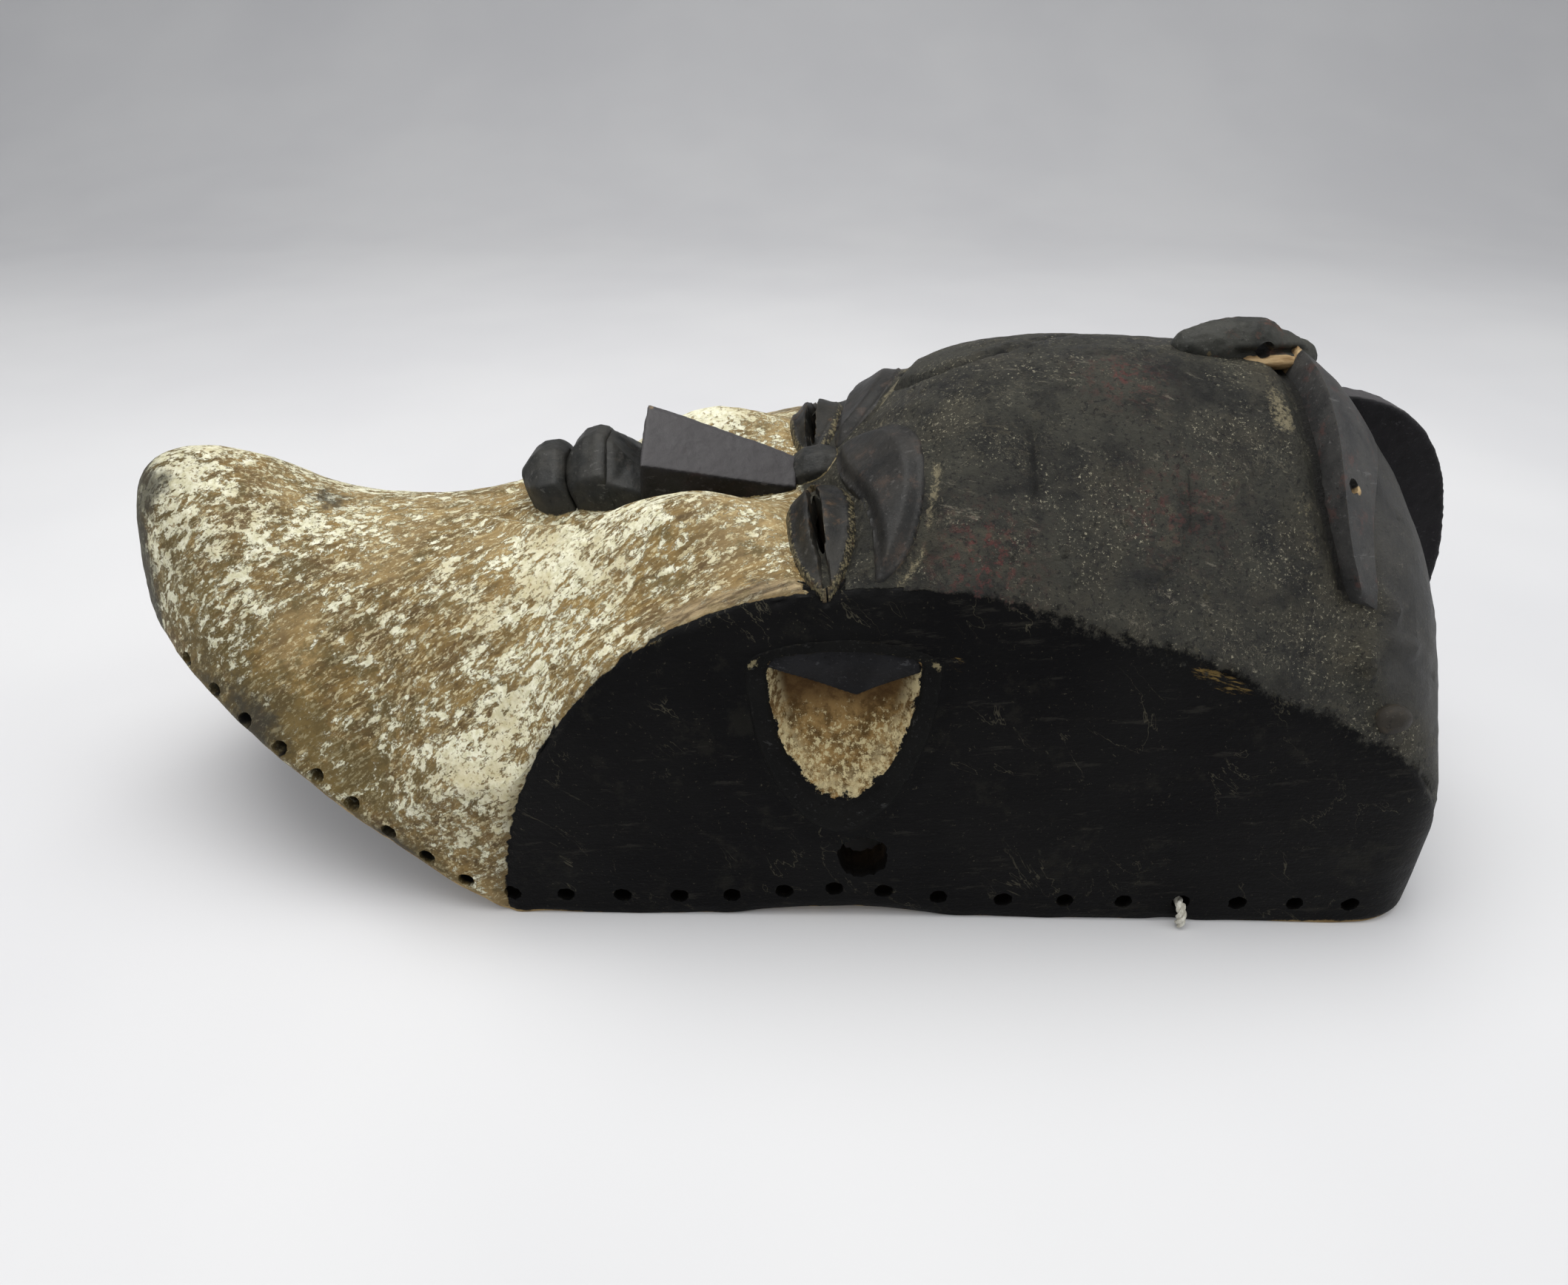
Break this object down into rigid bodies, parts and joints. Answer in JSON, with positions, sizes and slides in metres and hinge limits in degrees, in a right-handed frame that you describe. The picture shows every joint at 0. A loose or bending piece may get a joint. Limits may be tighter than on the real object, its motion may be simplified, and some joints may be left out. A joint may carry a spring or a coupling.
{
  "type": "carved wooden face mask",
  "caption": "Hollow carved wooden face mask with a jutting chin, slit eyes, ridged nose, side ears, head band, pierced topknot and crest, laced through holes in its rim.",
  "frame": {"origin": "on the resting plane, under the middle of the mask's outer box, as the mask lies face up on its rim", "axes": "+X from the chin to the crown, -Y towards the wearer's left, +Z out of the face"},
  "size_m": [0.4045, 0.1613, 0.152],
  "materials": {
    "chalked_wood": "matt, worn white pigment over brown wood on the face and chin, dark grey on the forehead and black on the side panels",
    "grey_wood": "satin, dark grey stain",
    "black_wood": "satin, black stain",
    "cotton_cord": "matt, white twisted cotton"
  },
  "bodies": {
    "root": {"mask_shell": "chalked_wood", "lower_lip": "grey_wood", "upper_lip": "grey_wood", "philtrum": "grey_wood", "nose": "grey_wood", "nose_bridge": "grey_wood", "left_lower_eyelid": "grey_wood", "left_upper_eyelid": "grey_wood", "right_lower_eyelid": "grey_wood", "right_upper_eyelid": "grey_wood", "left_brow_pad": "grey_wood", "right_brow_pad": "grey_wood", "left_ear_ring": "black_wood", "right_ear_ring": "black_wood", "left_ear_flap": "grey_wood", "right_ear_flap": "grey_wood", "head_band": "grey_wood", "topknot": "grey_wood", "crest_fin": "black_wood", "left_temple_knob": "black_wood", "lacing_stub": "cotton_cord"}
  },
  "joints": []
}
